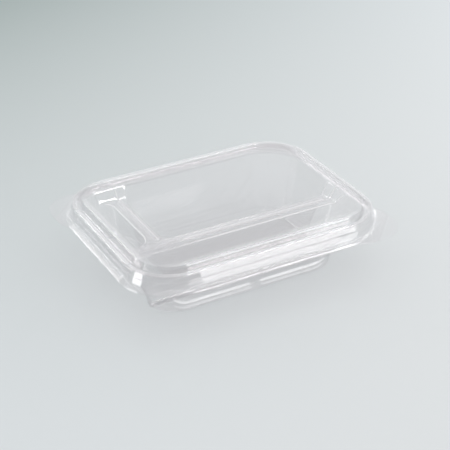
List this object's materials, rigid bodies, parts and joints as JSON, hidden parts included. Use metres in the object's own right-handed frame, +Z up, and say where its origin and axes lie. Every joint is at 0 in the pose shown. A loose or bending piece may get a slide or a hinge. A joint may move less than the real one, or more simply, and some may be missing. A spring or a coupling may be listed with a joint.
{
  "type": "side dish container",
  "caption": "Clear rectangular food container: tray with tapered compartments and raised dividers, and a lift-off lid with ring, channel and flat plateau.",
  "frame": {"origin": "centre of the overall outline, on the surface that the foot stands on", "axes": "+X along the long side, +Y from the long front compartment to the back, +Z up"},
  "size_m": [0.2048, 0.1604, 0.0499],
  "materials": {
    "tray_sheet": "clear thermoformed sheet, glossy, faintly blue-grey",
    "lid_sheet": "clear thermoformed sheet, glossy"
  },
  "bodies": {
    "tray": {"tray": "tray_sheet"},
    "lid": {"lid": "lid_sheet"}
  },
  "joints": [
    {"name": "lid_lift", "type": "slide", "parent": "tray", "child": "lid", "axis": [0, 0, 1], "range_m": [0, 0.06]}
  ]
}
